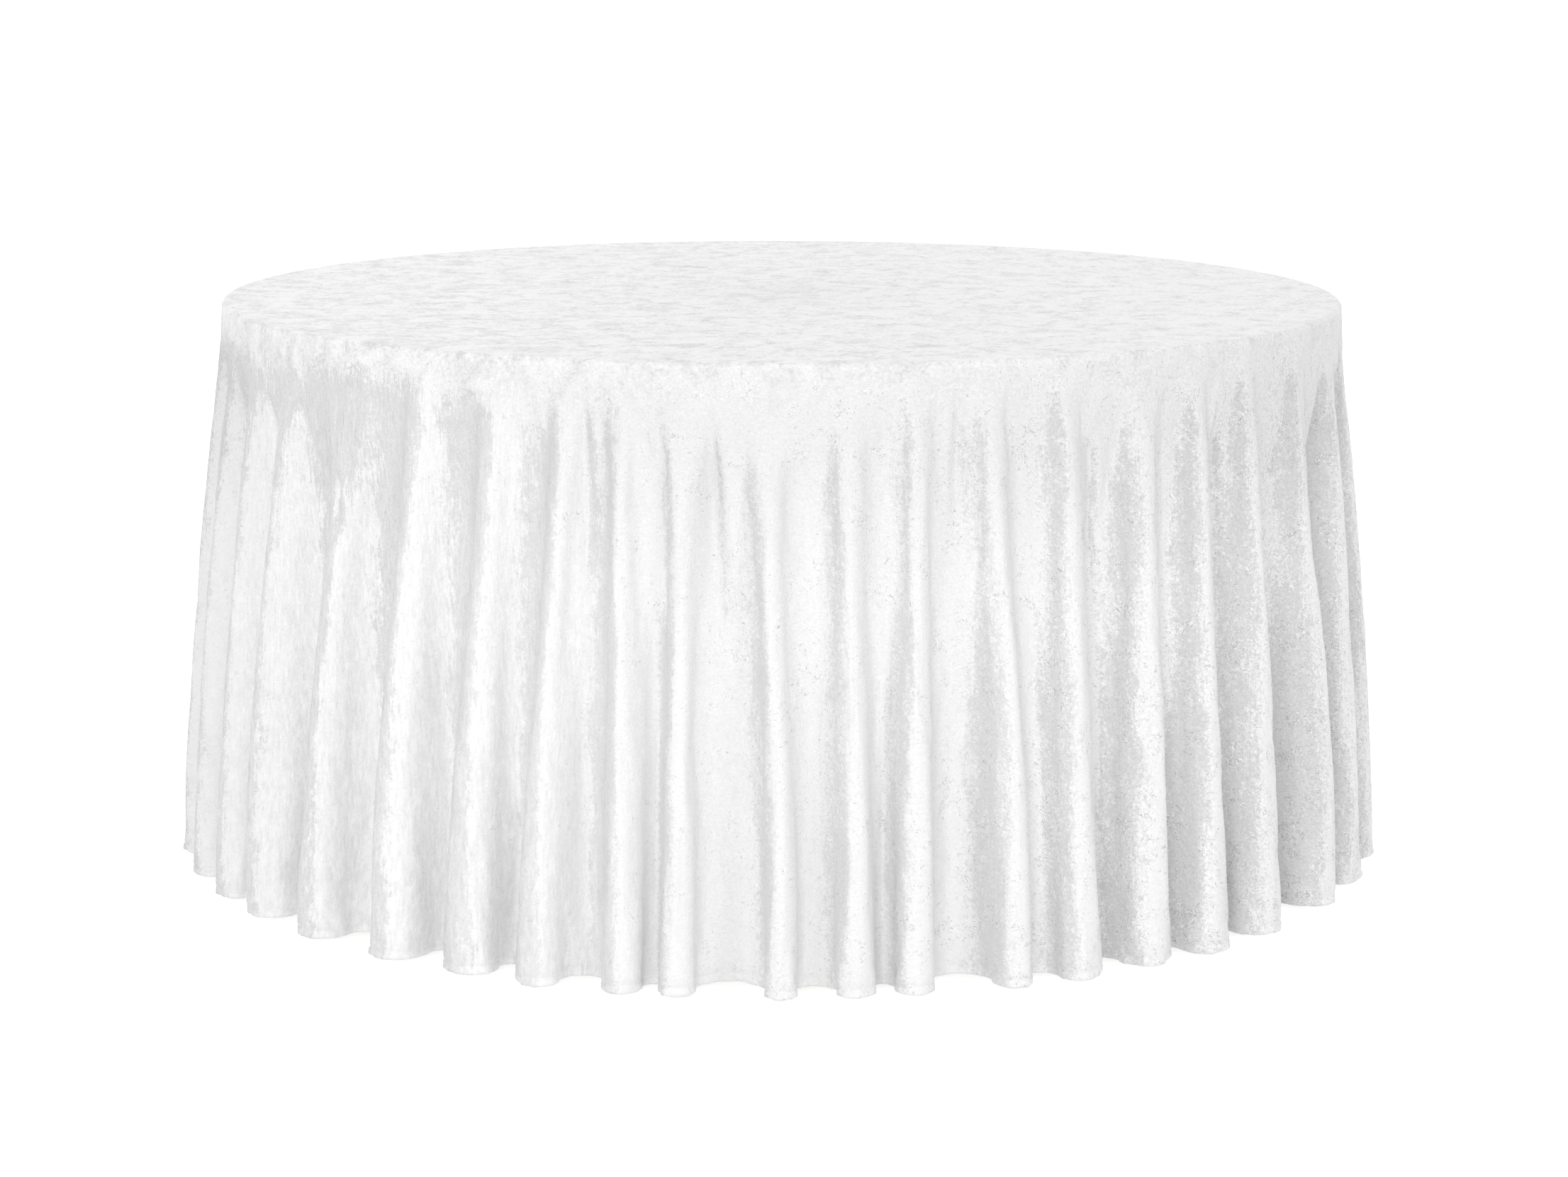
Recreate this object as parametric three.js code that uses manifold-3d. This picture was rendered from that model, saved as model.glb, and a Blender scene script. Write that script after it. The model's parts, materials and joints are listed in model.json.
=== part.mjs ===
// A round folding banquet table with a floor-length round velvet tablecloth laid over it.
//
// Millimetres, +Z up. The origin is on the floor, under the middle of the table top. The two
// leg frames stand at +X and -X and fold inwards; -Y is the front.
//
// Under the cloth: a plywood top with a laminate face and a moulded edge, two stiffening
// runners, and two tubular leg frames. Each frame turns on a pivot tube held in two strap
// brackets, and a two-link brace with a knee holds it upright. The left frame hangs lower than
// the right one, so that the two lie one over the other when they are folded away.

import * as THREE from 'three';
import { mergeVertices } from 'three/addons/utils/BufferGeometryUtils.js';
import Module from 'manifold-3d';

const wasm = await Module();
wasm.setup();

// ---- driving dimensions ------------------------------------------------------------------

const GAP = 0.3;                     // clearance between pieces that touch

// table top
const TABLE_R = 762;                 // a 60 inch round
const TABLE_TOP = 762;               // 30 inches high
const TOP_THICK = 19;                // plywood and laminate together
const LAMINATE = 1;
const EDGE_W = 5;                    // width of the moulded edge, which has rounded corners
const EDGE_ROUND = 4.5;
const UNDERSIDE = TABLE_TOP - TOP_THICK;
const RUNNER = { y: 375, thick: 20, deep: 65, length: 1120 };

// leg frames
const PIVOT_X = 420;                 // how far each frame's pivot is from the middle
const PIVOT_Z = { right: 707, left: 677 };
const LEG_Y = 330;                   // the two legs of a frame stand at y = +330 and -330
const LEG_R = 12.7;                  // 25.4 tube
const LEG_WALL = 1.2;
const BAR_R = 11;                    // the cross tubes
const BAR_WALL = 1.2;
const STRETCHER_DOWN = 480;          // the lower cross tube, measured down from the pivot
const FOOT = { r: 15.5, tall: 28, floor: 4, cap: 1.5 };

// brace, measured in the plane of the frame from its pivot
const BRACE_BAR_DOWN = 180;          // the cross tube that the brace is hung on
const BRACE_IN = 240;                // the bracket under the top, towards the middle
const BRACE_UP = 24;                 // and how far above the pivot
const LINK = { thick: 4, half: 8, upper: 186.4 };
const EYE_R = 16;                    // the eye of the lower link round its cross tube
const PIN_R = 4;
const BRACE_SCREW_Y = 19;            // its bracket's screws, either side of the cheeks

// pivot brackets: a strap under the pivot tube
const STRAP = { y: 250, wide: 30, thick: 3, clear: 0.6, flange: 40 };
const SCREW = { head: 4.2, headTall: 2.4, shank: 2.1, length: 14 };

// tablecloth
const CLOTH_THICK = 2.4;             // pile and ground together
const HEM_Z = 5;                     // the hem hangs just clear of the floor
const CREST_R = 838;                 // outermost part of a fold at the hem
const FOLD_DEPTH = 73;               // and how far the valleys go in from it
const SAMPLES_PER_FOLD = 6;
const SKIRT_LEVELS = [0.1, 0.28, 0.52, 0.76, 1];

// Fold crests in degrees, from the front (-Y) towards +X. Cloth falls into folds of uneven
// width; these are the front ones, and the back is filled with the same kind of rhythm.
const FRONT_CRESTS = [
  -80.8, -72, -63.1, -55.1, -45.5, -36.8, -27.6, -20.8, -14, -7, 0.1, 8.6,
  19.8, 26.4, 33.3, 40.4, 48.8, 58.5, 67.5, 75, 81.6,
];
const BACK_STEPS = [9.2, 10.4, 8.1, 9.6, 11.2, 8.8, 10.1, 9.3, 8.4, 10.9, 9.7, 8.6, 10.6, 9.1, 8.9, 10.2, 9.5];

// ---- materials -----------------------------------------------------------------------------

const LOOKS = {
  velvet: { color: 0xf1f0ee, roughness: 0.85, metalness: 0 },
  plywood: { color: 0xc9a675, roughness: 0.65, metalness: 0 },
  laminate: { color: 0xd8d3c8, roughness: 0.4, metalness: 0 },
  edging: { color: 0x6f4a2c, roughness: 0.5, metalness: 0 },
  hardwood: { color: 0xb58a58, roughness: 0.6, metalness: 0 },
  steel: { color: 0x5a5c60, roughness: 0.45, metalness: 0.3 },
  plate: { color: 0xb4b6ba, roughness: 0.35, metalness: 0.9 },
  plastic: { color: 0x1d1d1f, roughness: 0.6, metalness: 0 },
};

// ---- small helpers ---------------------------------------------------------------------------

const object = new THREE.Group();

function put(name, geometry, look, x = 0, y = 0, z = 0) {
  const mesh = new THREE.Mesh(geometry, new THREE.MeshStandardMaterial(LOOKS[look]));
  mesh.name = name;
  mesh.position.set(x, y, z);
  object.add(mesh);
  return mesh;
}

// Merges shared vertices and turns the faces outwards.
function closed(geometry) {
  const g = geometry.clone();
  for (const extra of ['normal', 'uv']) g.deleteAttribute(extra);
  const m = mergeVertices(g, 1e-4);
  const p = m.attributes.position.array;
  const t = m.index.array;
  const keep = [];
  let volume = 0;
  for (let i = 0; i < t.length; i += 3) {
    const [a, b, c] = [t[i], t[i + 1], t[i + 2]];
    if (a === b || b === c || c === a) continue;
    keep.push(a, b, c);
    const A = new THREE.Vector3().fromArray(p, 3 * a);
    const B = new THREE.Vector3().fromArray(p, 3 * b);
    const C = new THREE.Vector3().fromArray(p, 3 * c);
    volume += A.dot(B.cross(C)) / 6;
  }
  if (volume < 0) keep.reverse();
  m.setIndex(keep);
  return m;
}

function toManifold(geometry) {
  const g = closed(geometry);
  return new wasm.Manifold(new wasm.Mesh({
    numProp: 3,
    vertProperties: new Float32Array(g.attributes.position.array),
    triVerts: new Uint32Array(g.index.array),
  }));
}

function fromManifold(solid) {
  const mesh = solid.getMesh();
  const g = new THREE.BufferGeometry();
  g.setAttribute('position', new THREE.BufferAttribute(new Float32Array(mesh.vertProperties), 3));
  g.setIndex([...mesh.triVerts]);
  return g;
}

function cut(geometry, ...tools) {
  let solid = toManifold(geometry);
  for (const tool of tools) solid = solid.subtract(toManifold(tool));
  return fromManifold(solid);
}

function join(...pieces) {
  let solid = toManifold(pieces[0]);
  for (const piece of pieces.slice(1)) solid = solid.add(toManifold(piece));
  return fromManifold(solid);
}

// Turns a profile of [radius, height] points round the Z axis.
function turned(profile, segments = 24) {
  const points = profile.map(([r, h]) => new THREE.Vector2(r, h));
  return closed(new THREE.LatheGeometry(points, segments).rotateX(Math.PI / 2));
}

function rod(r, z0, z1, segments = 16) {
  return turned([[0, z0], [r, z0], [r, z1], [0, z1]], segments);
}

function pipe(r, wall, z0, z1, segments = 24) {
  return turned([[r - wall, z0], [r, z0], [r, z1], [r - wall, z1], [r - wall, z0]], segments);
}

function box(x0, x1, y0, y1, z0, z1) {
  return new THREE.BoxGeometry(x1 - x0, y1 - y0, z1 - z0)
    .translate((x0 + x1) / 2, (y0 + y1) / 2, (z0 + z1) / 2);
}

// Extrudes a shape drawn in the XZ plane from y0 to y1.
function sideways(shape, y0, y1, curveSegments = 8) {
  const g = new THREE.ExtrudeGeometry(shape, { depth: y1 - y0, bevelEnabled: false, curveSegments });
  return closed(g.rotateX(Math.PI / 2).translate(0, y1, 0));
}

const alongY = (g) => g.rotateX(-Math.PI / 2);

// ---- table top -----------------------------------------------------------------------------

const boardTop = TABLE_TOP - LAMINATE - GAP;
const boardR = TABLE_R - EDGE_W - GAP;

// every screw goes straight up into the board
const screwSpots = [];
for (const side of [1, -1]) {
  const hand = side > 0 ? 'right' : 'left';
  for (const [end, y] of [['front', -STRAP.y], ['back', STRAP.y]]) {
    screwSpots.push([`${hand}_pivot_screw_${end}_outer`, side * (PIVOT_X + 29), y]);
    screwSpots.push([`${hand}_pivot_screw_${end}_inner`, side * (PIVOT_X - 29), y]);
  }
  screwSpots.push([`${hand}_brace_screw_front`, side * (PIVOT_X - BRACE_IN), -BRACE_SCREW_Y]);
  screwSpots.push([`${hand}_brace_screw_back`, side * (PIVOT_X - BRACE_IN), BRACE_SCREW_Y]);
}
const pilotHoles = screwSpots.map(([, x, y]) =>
  rod(SCREW.shank + GAP, UNDERSIDE - 1, UNDERSIDE + SCREW.length, 12).translate(x, y, 0));

put('top_board', cut(rod(boardR, UNDERSIDE, boardTop, 96), ...pilotHoles), 'plywood');
put('top_laminate', rod(boardR, TABLE_TOP - LAMINATE, TABLE_TOP, 96), 'laminate');

// The edge moulding: a ring with rounded outer corners.
function roundedEdge(inner, outer, low, high, round, steps = 2) {
  const points = [[inner, low]];
  for (let i = 0; i <= steps; i += 1) {
    const a = (i / steps) * Math.PI / 2;
    points.push([outer - round + round * Math.sin(a), low + round - round * Math.cos(a)]);
  }
  for (let i = 0; i <= steps; i += 1) {
    const a = (i / steps) * Math.PI / 2;
    points.push([outer - round + round * Math.cos(a), high - round + round * Math.sin(a)]);
  }
  points.push([inner, high], [inner, low]);
  return points;
}
put('edge_band', turned(roundedEdge(TABLE_R - EDGE_W, TABLE_R, UNDERSIDE, TABLE_TOP, EDGE_ROUND), 96), 'edging');

for (const [name, side] of [['runner_front', -1], ['runner_back', 1]]) {
  put(name, box(-RUNNER.length / 2, RUNNER.length / 2, -RUNNER.thick / 2, RUNNER.thick / 2,
    UNDERSIDE - GAP - RUNNER.deep, UNDERSIDE - GAP), 'hardwood', 0, side * RUNNER.y, 0);
}

const flangeTop = UNDERSIDE - GAP;
const flangeLow = flangeTop - STRAP.thick;
const oneScrew = [[0, flangeLow - GAP - SCREW.headTall], [SCREW.head * 0.7, flangeLow - GAP - SCREW.headTall],
  [SCREW.head, flangeLow - GAP - SCREW.headTall * 0.5], [SCREW.head, flangeLow - GAP],
  [SCREW.shank, flangeLow - GAP], [SCREW.shank, UNDERSIDE + SCREW.length - 2.5],
  [0, UNDERSIDE + SCREW.length - 0.6]];
for (const [name, x, y] of screwSpots) put(name, turned(oneScrew, 12), 'plate', x, y, 0);

// ---- leg frames ------------------------------------------------------------------------------

// A cross tube between the two legs, its ends coped to fit round them.
function crossTube() {
  const half = LEG_Y - 2;
  const tube = alongY(pipe(BAR_R, BAR_WALL, -half, half, 20));
  return cut(tube, ...[-LEG_Y, LEG_Y].map((y) => rod(LEG_R + GAP, -40, 40, 32).translate(0, y, 0)));
}

// The strap that carries the pivot tube, drawn about the pivot axis and hung from the top.
function pivotStrap(pivotZ) {
  const up = flangeTop - pivotZ;
  const inner = BAR_R + STRAP.clear;
  const outer = inner + STRAP.thick;
  const s = new THREE.Shape();
  s.moveTo(-STRAP.flange, up);
  s.lineTo(-STRAP.flange, up - STRAP.thick);
  s.lineTo(-outer, up - STRAP.thick);
  s.lineTo(-outer, 0);
  s.absarc(0, 0, outer, Math.PI, 2 * Math.PI, false);
  s.lineTo(outer, up - STRAP.thick);
  s.lineTo(STRAP.flange, up - STRAP.thick);
  s.lineTo(STRAP.flange, up);
  s.lineTo(inner, up);
  s.lineTo(inner, 0);
  s.absarc(0, 0, inner, 0, -Math.PI, true);
  s.lineTo(-inner, up);
  s.lineTo(-STRAP.flange, up);
  const holes = [-29, 29].map((x) => rod(SCREW.shank + GAP, up - 6, up + 6, 12).translate(x, 0, 0));
  return cut(sideways(s, -STRAP.wide / 2, STRAP.wide / 2), ...holes);
}

// The bracket that the upper link hangs from: a base, two cheeks and a pin across them.
function braceBracket(pinDrop) {
  const cheek = (y0, y1) => {
    const s = new THREE.Shape();
    s.moveTo(-12, pinDrop - 1);
    s.lineTo(-12, 6);
    s.lineTo(-8, 0);
    s.absarc(0, 0, 8, Math.PI, 2 * Math.PI, false);
    s.lineTo(12, 6);
    s.lineTo(12, pinDrop - 1);
    s.lineTo(-12, pinDrop - 1);
    return sideways(s, y0, y1);
  };
  const base = box(-12, 12, -26, 26, pinDrop - STRAP.thick, pinDrop);
  const holes = [-BRACE_SCREW_Y, BRACE_SCREW_Y].map((y) =>
    rod(SCREW.shank + GAP, pinDrop - 8, pinDrop + 8, 12).translate(0, y, 0));
  return join(cut(base, ...holes), cheek(-10, -7), cheek(7, 10), alongY(rod(PIN_R, -8, 8, 16)));
}

// A flat link from its own origin to (dx, dz): round ends, a hole at each end.
function link(dx, dz, endR, farR, hole, farHole, y0, y1) {
  const length = Math.hypot(dx, dz);
  const s = new THREE.Shape();
  const a = Math.asin((endR - farR) / length);
  s.absarc(0, 0, endR, Math.PI / 2 - a, (3 * Math.PI) / 2 + a, false);
  s.absarc(length, 0, farR, -Math.PI / 2 + a, Math.PI / 2 - a, false);
  for (const [x, r] of [[0, hole], [length, farHole]]) {
    const h = new THREE.Path();
    h.absarc(x, 0, r, 0, 2 * Math.PI, true);
    s.holes.push(h);
  }
  return sideways(s, y0, y1, 8).rotateY(-Math.atan2(dz, dx));
}

for (const [side, dir] of [['right', 1], ['left', -1]]) {
  const px = dir * PIVOT_X;
  const pz = PIVOT_Z[side];

  for (const [end, y] of [['front', -LEG_Y], ['back', LEG_Y]]) {
    put(`${side}_leg_${end}`, pipe(LEG_R, LEG_WALL, FOOT.floor + GAP, pz + LEG_R), 'steel', px, y, 0);
    const foot = [[0, 0], [FOOT.r - FOOT.cap, 0], [FOOT.r, FOOT.cap], [FOOT.r, FOOT.tall - 1],
      [FOOT.r - 1, FOOT.tall], [LEG_R + GAP, FOOT.tall], [LEG_R + GAP, FOOT.floor], [0, FOOT.floor]];
    put(`${side}_foot_${end}`, turned(foot, 20), 'plastic', px, y, 0);
    put(`${side}_pivot_bracket_${end}`, pivotStrap(pz), 'plate', px, Math.sign(y) * STRAP.y, pz);
  }

  put(`${side}_pivot_tube`, crossTube(), 'steel', px, 0, pz);
  put(`${side}_brace_bar`, crossTube(), 'steel', px, 0, pz - BRACE_BAR_DOWN);
  put(`${side}_stretcher`, crossTube(), 'steel', px, 0, pz - STRETCHER_DOWN);

  // brace: straight from the bracket to its bar while the frame stands upright
  const fromX = px - dir * BRACE_IN;
  const fromZ = pz + BRACE_UP;
  const dx = dir * BRACE_IN;
  const dz = -BRACE_BAR_DOWN - BRACE_UP;
  const total = Math.hypot(dx, dz);
  const kx = fromX + (dx * LINK.upper) / total;
  const kz = fromZ + (dz * LINK.upper) / total;
  put(`${side}_brace_bracket`, braceBracket(flangeTop - fromZ), 'plate', fromX, 0, fromZ);
  put(`${side}_brace_upper`,
    link(kx - fromX, kz - fromZ, LINK.half, LINK.half, PIN_R + 0.5, PIN_R, 1, 1 + LINK.thick),
    'plate', fromX, 0, fromZ);
  put(`${side}_brace_lower`,
    link(kx - px, kz - (pz - BRACE_BAR_DOWN), EYE_R, LINK.half, BAR_R + 0.5, PIN_R + 0.2, -1 - LINK.thick, -1),
    'plate', px, 0, pz - BRACE_BAR_DOWN);
  // the knee rivet stays in the upper link; the lower link's hole swings clear of it
  const rivet = [[0, 0.6], [PIN_R - GAP, 0.6], [PIN_R - GAP, 1 + LINK.thick + GAP],
    [7, 1 + LINK.thick + GAP], [6, 7.4], [3, 8.6], [0, 8.8]];
  put(`${side}_knee_rivet`, alongY(turned(rivet, 20)), 'plate', kx, 0, kz);
}

// ---- tablecloth --------------------------------------------------------------------------------

const crests = [...FRONT_CRESTS];
{
  const room = 360 + FRONT_CRESTS[0] - FRONT_CRESTS[FRONT_CRESTS.length - 1];
  const sum = BACK_STEPS.reduce((a, b) => a + b, 0);
  for (const step of BACK_STEPS.slice(0, -1)) {
    crests.push(crests[crests.length - 1] + (step * room) / sum);
  }
}

// One entry for each sample round the skirt: its angle, and how deep in a valley it is (0 to 1).
const around = [];
crests.forEach((start, i) => {
  const end = i + 1 < crests.length ? crests[i + 1] : crests[0] + 360;
  const depth = Math.min(1, (end - start) / 9);
  for (let k = 0; k < SAMPLES_PER_FOLD; k += 1) {
    const u = k / SAMPLES_PER_FOLD;
    const angle = THREE.MathUtils.degToRad(start + (end - start) * u - 90);
    around.push({ angle, valley: (depth * (1 - Math.cos(2 * Math.PI * u))) / 2 });
  }
});

// The outer line of the cloth at a level: 0 at the rim, 1 at the hem.
function level(t) {
  const out = TABLE_R + GAP + CLOTH_THICK;
  const flare = (CREST_R - out) * t ** 0.8;
  const into = FOLD_DEPTH * Math.max(0, (t - 0.05) / 0.95) ** 0.9;
  return around.map(({ angle, valley }) => {
    const r = Math.max(out, out + flare - into * valley);
    return new THREE.Vector2(r * Math.cos(angle), r * Math.sin(angle));
  });
}

// The same line moved inwards by the cloth's thickness.
function inset(line, by) {
  return line.map((p, i) => {
    const before = line[(i + line.length - 1) % line.length];
    const after = line[(i + 1) % line.length];
    const along = after.clone().sub(before).normalize();
    return new THREE.Vector2(p.x - along.y * by, p.y + along.x * by);
  });
}

{
  const rings = [];                      // outside from the middle to the hem, then back inside
  const rimTop = TABLE_TOP + GAP + CLOTH_THICK;
  const turn = EDGE_ROUND + GAP + CLOTH_THICK;
  const rimZ = rimTop - turn;
  const circle = (r) => around.map(({ angle }) => new THREE.Vector2(r * Math.cos(angle), r * Math.sin(angle)));
  const corner = (r, steps) => {
    const made = [];
    for (let i = 0; i < steps; i += 1) {
      const a = (i / steps) * Math.PI / 2;
      made.push({ line: circle(TABLE_R - EDGE_ROUND + r * Math.sin(a)), z: rimZ + r * Math.cos(a) });
    }
    return made;
  };
  const outer = corner(turn, 2);
  const inner = corner(turn - CLOTH_THICK, 2);
  for (const t of [0, ...SKIRT_LEVELS]) {
    const z = rimZ + (HEM_Z - rimZ) * t;
    outer.push({ line: level(t), z });
    inner.push({ line: inset(level(t), CLOTH_THICK), z });
  }
  rings.push(...outer, ...inner.slice().reverse());

  const points = [];
  const faces = [];
  const n = around.length;
  for (const { line, z } of rings) for (const p of line) points.push(p.x, p.y, z);
  for (let k = 0; k + 1 < rings.length; k += 1) {
    for (let i = 0; i < n; i += 1) {
      const j = (i + 1) % n;
      const [a, b, c, d] = [k * n + i, k * n + j, (k + 1) * n + i, (k + 1) * n + j];
      // both sides of the wall are split along the same diagonal, so its thickness stays even
      if (k < outer.length - 1) faces.push(a, c, b, b, c, d);
      else faces.push(a, c, d, a, d, b);
    }
  }
  const topMiddle = points.length / 3;
  points.push(0, 0, rimTop, 0, 0, rimTop - CLOTH_THICK);
  const last = (rings.length - 1) * n;
  for (let i = 0; i < n; i += 1) {
    const j = (i + 1) % n;
    faces.push(topMiddle, i, j);
    faces.push(topMiddle + 1, last + j, last + i);
  }
  const cloth = new THREE.BufferGeometry();
  cloth.setAttribute('position', new THREE.BufferAttribute(new Float32Array(points), 3));
  cloth.setIndex(faces);
  put('tablecloth', closed(cloth), 'velvet');
}

export default object;
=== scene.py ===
# %% [markdown]
# # A floor-length velvet tablecloth on a round table
#
# The fixed frame is a measured model of the table and of the cloth's rough shell. This lesson
# adds what such a frame lacks: the real drape of the cloth, its hem, and a finish for every
# piece. All lengths are in metres, and Z is up. Run the cells from top to bottom.

import json
import math

import bpy
import numpy as np
from mathutils import Matrix, Vector


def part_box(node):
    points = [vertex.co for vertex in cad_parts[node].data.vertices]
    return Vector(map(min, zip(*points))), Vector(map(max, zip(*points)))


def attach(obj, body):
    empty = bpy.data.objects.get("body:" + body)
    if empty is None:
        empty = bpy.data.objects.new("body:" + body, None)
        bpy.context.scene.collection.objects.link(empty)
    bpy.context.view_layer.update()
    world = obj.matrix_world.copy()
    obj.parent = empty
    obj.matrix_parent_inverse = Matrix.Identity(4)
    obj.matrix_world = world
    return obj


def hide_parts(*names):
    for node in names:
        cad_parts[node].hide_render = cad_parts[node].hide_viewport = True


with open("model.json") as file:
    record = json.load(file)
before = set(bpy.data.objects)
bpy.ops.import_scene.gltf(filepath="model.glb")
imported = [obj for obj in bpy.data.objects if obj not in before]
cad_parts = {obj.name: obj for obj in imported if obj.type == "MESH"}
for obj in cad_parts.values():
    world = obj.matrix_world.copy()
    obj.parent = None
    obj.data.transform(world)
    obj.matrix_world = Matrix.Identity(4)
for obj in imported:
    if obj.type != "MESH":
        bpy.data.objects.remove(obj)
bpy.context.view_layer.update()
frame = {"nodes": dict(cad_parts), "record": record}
nodes = frame["nodes"]
scene = bpy.context.scene

# %% [markdown]
# ## Camera
#
# A long lens a little above the table top keeps the sides almost upright, as in a studio shot.
# The small roll is how the camera stood on its tripod.

# %% Place the camera
camera_data = bpy.data.cameras.new("studio_camera")
camera_data.lens = 84.8            # millimetres
camera_data.sensor_width = 36.0
camera = bpy.data.objects.new("studio_camera", camera_data)
scene.collection.objects.link(camera)
tilt_down = math.radians(10.83)
camera.matrix_world = (
    Matrix.Translation((0.004, -5.075, 1.320))
    @ Matrix.Rotation(math.pi / 2 - tilt_down, 4, "X")
    @ Matrix.Rotation(math.radians(0.13), 4, "Z")
)
scene.camera = camera
print("camera at", tuple(round(v, 3) for v in camera.matrix_world.translation))

# %% [markdown]
# ## Studio
#
# White cloth in a white room. The floor and the wall glow like a lit paper sweep, so the
# background burns out to white and no hard shadow is left under the hem. They are kept from
# lighting the cloth: that much light from below would flatten every fold.

# %% Floor, wall and room
def glowing_white(name, base, glow):
    made = bpy.data.materials.new(name)
    made.use_nodes = True
    shader = made.node_tree.nodes["Principled BSDF"]
    shader.inputs["Base Color"].default_value = (base, base, base, 1)
    shader.inputs["Roughness"].default_value = 0.9
    shader.inputs["Specular IOR Level"].default_value = 0.1
    shader.inputs["Emission Color"].default_value = (1, 1, 1, 1)
    shader.inputs["Emission Strength"].default_value = glow
    return made


def staged(name, corners, polygons, finish):
    mesh = bpy.data.meshes.new(name)
    mesh.from_pydata(corners, [], polygons)
    made = bpy.data.objects.new(name, mesh)
    made.data.materials.append(finish)
    scene.collection.objects.link(made)
    made.visible_diffuse = False
    return made


ROOM_SIDES = 96
ROOM_RADIUS = 14.0
ROOM_HEIGHT = 5.0
turns = np.linspace(0, 2 * math.pi, ROOM_SIDES, endpoint=False)
low_ring = [(ROOM_RADIUS * math.cos(a), ROOM_RADIUS * math.sin(a), 0.0) for a in turns]
high_ring = [(x, y, ROOM_HEIGHT) for x, y, _ in low_ring]
wall_panels = [
    (k, ROOM_SIDES + k, ROOM_SIDES + (k + 1) % ROOM_SIDES, (k + 1) % ROOM_SIDES) for k in range(ROOM_SIDES)
]
staged("studio_floor", low_ring, [tuple(range(ROOM_SIDES))], glowing_white("floor_paper", 0.80, 0.70))
staged("studio_wall", low_ring + high_ring, wall_panels, glowing_white("wall_paper", 0.5, 1.0))

room = bpy.data.worlds.new("white_room")
scene.world = room
room.use_nodes = True
room.node_tree.nodes["Background"].inputs["Color"].default_value = (1, 1, 1, 1)
room.node_tree.nodes["Background"].inputs["Strength"].default_value = 0.745

scene.view_settings.view_transform = "Standard"
scene.view_settings.look = "None"
print("floor and room ready")


# %% [markdown]
# Four round lamps with soft edges. The main one stands a little left of the camera, so the right
# flank of each fold falls off gently. Two weaker ones reach the folds at the sides, and one above
# lights the table top.


# %% Lamps
def soft_lamp(name, place, aim, size, watts):
    data = bpy.data.lights.new(name, "AREA")
    data.shape = "DISK"
    data.size = size
    data.energy = watts
    lamp = bpy.data.objects.new(name, data)
    scene.collection.objects.link(lamp)
    lamp.location = place
    lamp.rotation_euler = (Vector(aim) - Vector(place)).to_track_quat("-Z", "Y").to_euler()
    return lamp


soft_lamp("front_lamp", (-0.8, -5.5, 1.4), (0, 0, 0.35), 1.6, 66)
soft_lamp("left_lamp", (-3.9, -4.0, 1.7), (0, 0, 0.4), 1.4, 21)
soft_lamp("right_lamp", (3.6, -4.3, 1.7), (0, 0, 0.4), 1.4, 39)
soft_lamp("top_lamp", (0.0, 1.2, 4.0), (0, 0, 0.7), 2.0, 23)

# %% [markdown]
# ## Shader arithmetic
#
# A finish is a small network of nodes. Wrapping a socket in a class lets the network be written
# as a formula: `1 - mask` adds a Math node by itself. One function, `new_node`, makes every
# node: it takes the type, the settings, and the values or links of the sockets.


# %% A socket that does arithmetic
class Signal:
    """One output socket of a finish. Arithmetic on it adds Math nodes."""

    def __init__(self, tree, socket):
        self.tree = tree
        self.socket = socket

    def math(self, operation, *terms):
        return new_node(self.tree, "ShaderNodeMath", {"operation": operation}, dict(enumerate(terms)))

    def __add__(self, other):
        return self.math("ADD", self, other)

    def __sub__(self, other):
        return self.math("SUBTRACT", self, other)

    def __rsub__(self, other):
        return self.math("SUBTRACT", other, self)

    def __mul__(self, other):
        return self.math("MULTIPLY", self, other)

    def __abs__(self):
        return self.math("ABSOLUTE", self)

    __radd__ = __add__
    __rmul__ = __mul__

    def between(self, low, high):
        """0 below low, 1 above high, and a smooth step from one to the other."""
        return new_node(self.tree, "ShaderNodeMapRange", {"interpolation_type": "SMOOTHSTEP"},
                        {"Value": self, "From Min": low, "From Max": high})


def plug(tree, socket, value):
    """Link a signal to a socket, or set the socket to a plain number or colour."""
    if isinstance(value, Signal):
        tree.links.new(value.socket, socket)
    elif isinstance(value, (tuple, list)) and len(value) == 3 and len(socket.default_value) == 4:
        socket.default_value = (*value, 1.0)
    else:
        socket.default_value = value


def new_node(tree, kind, settings=None, sockets=None, out=0):
    """One node: its type, its settings, and the values or links of its sockets."""
    made = tree.nodes.new(kind)
    for name, value in (settings or {}).items():
        setattr(made, name, value)
    for name, value in (sockets or {}).items():
        plug(tree, made.inputs[name], value)
    return Signal(tree, made.outputs[out])


print("signals ready")

# %% [markdown]
# A finish is a material with one Principled shader. Only what differs over the surface comes from
# nodes; a number that is the same all over is set on the shader itself.


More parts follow.
